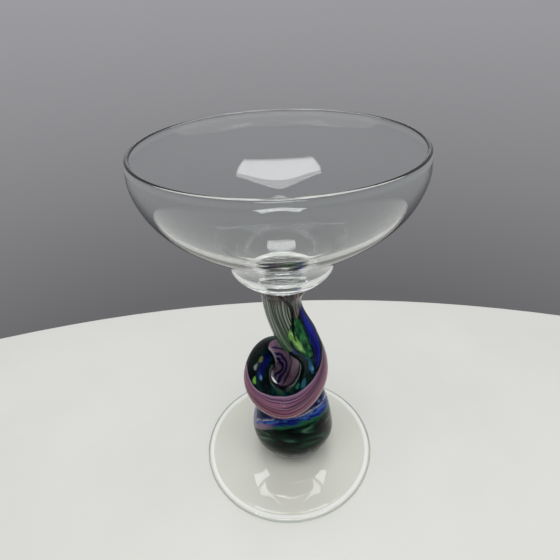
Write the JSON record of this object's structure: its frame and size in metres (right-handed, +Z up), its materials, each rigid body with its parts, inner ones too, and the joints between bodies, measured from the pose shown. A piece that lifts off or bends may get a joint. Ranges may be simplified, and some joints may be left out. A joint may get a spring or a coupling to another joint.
{
  "type": "stemmed cocktail glass",
  "caption": "Stemmed cocktail glass: wide clear bowl stepping in to a small well, a curled rod of coloured glass, a round dark knop and a clear foot.",
  "frame": {"origin": "middle of the foot's underside, on the axis of bowl and foot", "axes": "+Z up through the bowl, -Y towards the front of the curl, +X to its right"},
  "size_m": [0.113, 0.113, 0.18],
  "materials": {
    "clear_glass": "clear, polished, very faint grey-green tint",
    "core_glass": "near-black green, glossy",
    "smoke_glass": "grey-green with fine pale and dark lines, glossy",
    "cobalt_glass": "deep cobalt, glossy",
    "green_glass": "bright yellow-green patch, glossy",
    "rose_glass": "dusty pink with fine purple lines, glossy",
    "mauve_glass": "mauve with navy lines, glossy"
  },
  "bodies": {
    "root": {"bowl": "clear_glass", "neck_merese": "clear_glass", "stem_casing": "clear_glass", "stem_core": "core_glass", "smoke_cane": "smoke_glass", "cobalt_cane": "cobalt_glass", "green_cane": "green_glass", "rose_cane": "rose_glass", "mauve_cane": "mauve_glass", "knop_casing": "clear_glass", "knop_swirl": "cobalt_glass", "knop_core": "core_glass", "foot_merese": "clear_glass", "foot": "clear_glass"}
  },
  "joints": []
}
